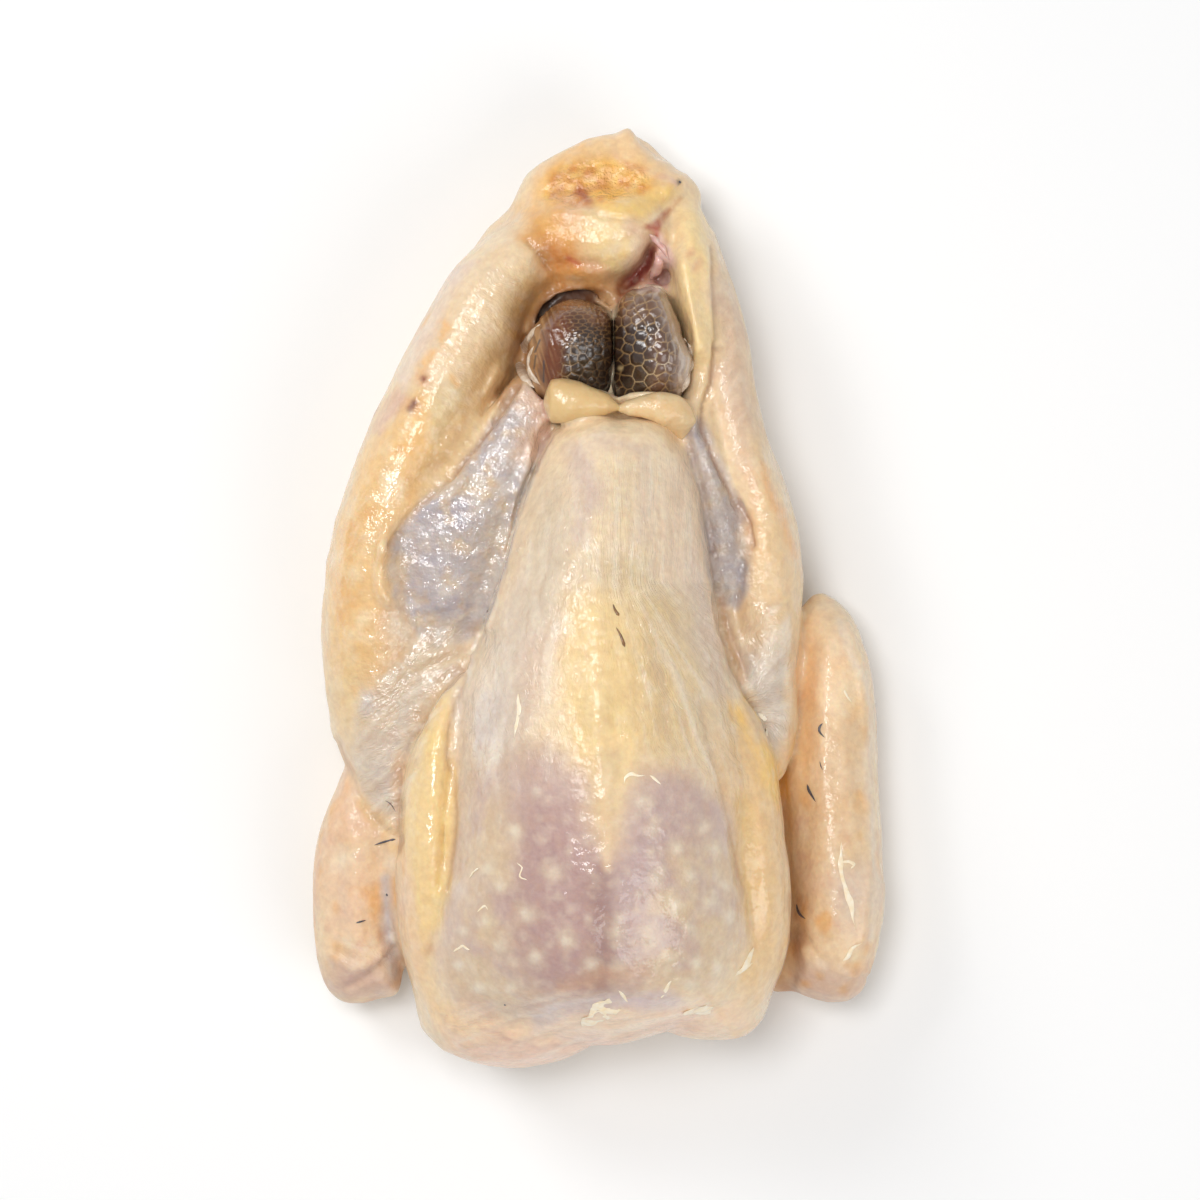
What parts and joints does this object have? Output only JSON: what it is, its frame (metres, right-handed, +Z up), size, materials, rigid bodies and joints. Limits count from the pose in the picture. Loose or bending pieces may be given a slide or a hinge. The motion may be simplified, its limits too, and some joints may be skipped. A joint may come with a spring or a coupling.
{
  "type": "whole raw guinea fowl",
  "caption": "Whole plucked raw guinea fowl lying on its back, wings folded along the body, legs tucked in at the vent and their dark scaly hocks showing.",
  "frame": {"origin": "on the surface the bird lies on, under the middle of its bounding box", "axes": "+Z up, with the breast up; +Y along the bird from its neck end to its tail; +X towards the right of the picture"},
  "size_m": [0.1607, 0.2611, 0.0982],
  "materials": {
    "raw_skin": "moist raw skin over yellow fat and mauve flesh",
    "scaly_skin": "dark brown scaly skin with paler lines between the scales, glossy",
    "quill": "blue-black stubs of feathers left in the skin, satin"
  },
  "bodies": {
    "root": {"carcass": "raw_skin", "hock_left": "scaly_skin", "hock_right": "scaly_skin"}
  },
  "joints": []
}
